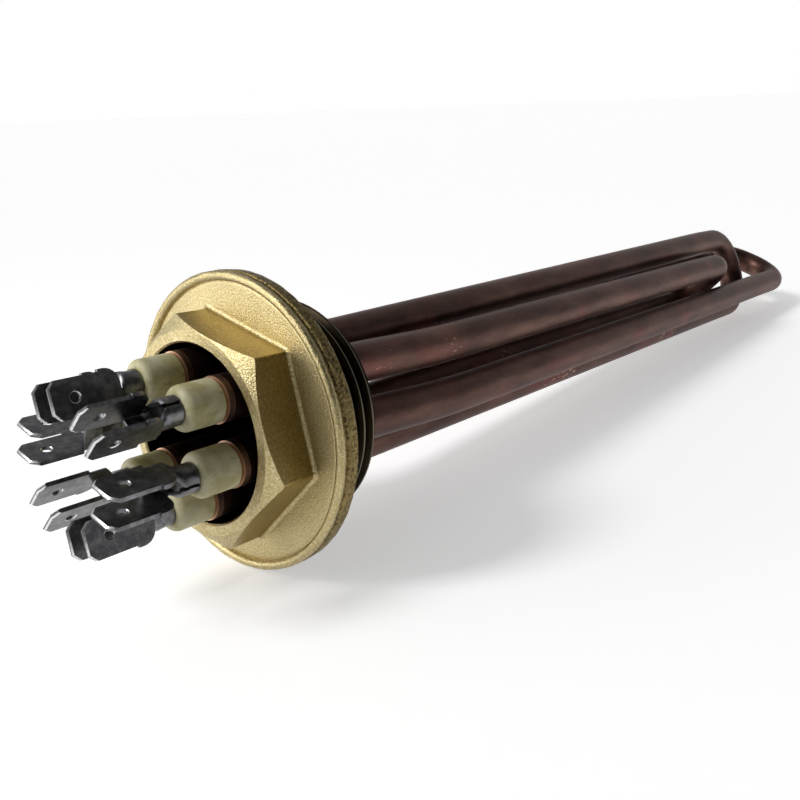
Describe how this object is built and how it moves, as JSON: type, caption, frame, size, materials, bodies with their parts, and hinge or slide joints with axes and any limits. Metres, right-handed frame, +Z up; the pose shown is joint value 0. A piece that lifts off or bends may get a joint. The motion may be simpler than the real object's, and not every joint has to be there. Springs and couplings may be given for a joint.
{
  "type": "coffee machine heating element",
  "caption": "Immersion heating element for a coffee machine boiler: brass hexagon plug with flange and threaded neck, hairpin copper tubes behind, ceramic bushes and spade terminals in front.",
  "frame": {"origin": "centre of the plug's annular sealing face, which bears on the boiler", "axes": "+X along the thread's axis into the boiler, +Z up, +Y to the left when looking along +X"},
  "size_m": [0.308, 0.0554, 0.0554],
  "materials": {
    "plug_brass": "forged, shot-blasted face",
    "tube_copper": "tarnished copper, satin",
    "insulating_powder": "compacted white powder",
    "coil_wire": "drawn resistance wire",
    "pin_steel": "drawn steel",
    "bush_ceramic": "unglazed cream ceramic",
    "terminal_steel": "stamped sheet, dull"
  },
  "bodies": {
    "root": {"brass_plug": "plug_brass", "heating_tube_long": "tube_copper", "heating_tube_middle": "tube_copper", "heating_tube_short": "tube_copper", "powder_fill_long": "insulating_powder", "powder_fill_middle": "insulating_powder", "powder_fill_short": "insulating_powder", "resistance_coil_long": "coil_wire", "resistance_coil_middle": "coil_wire", "resistance_coil_short": "coil_wire", "cold_pin_1": "pin_steel", "cold_pin_2": "pin_steel", "cold_pin_3": "pin_steel", "cold_pin_4": "pin_steel", "cold_pin_5": "pin_steel", "cold_pin_6": "pin_steel", "ceramic_bush_1": "bush_ceramic", "ceramic_bush_2": "bush_ceramic", "ceramic_bush_3": "bush_ceramic", "ceramic_bush_4": "bush_ceramic", "ceramic_bush_5": "bush_ceramic", "ceramic_bush_6": "bush_ceramic", "tab_terminal_1": "terminal_steel", "tab_terminal_2": "terminal_steel", "tab_terminal_3": "terminal_steel", "tab_terminal_4": "terminal_steel", "tab_terminal_5": "terminal_steel", "tab_terminal_6": "terminal_steel"}
  },
  "joints": []
}
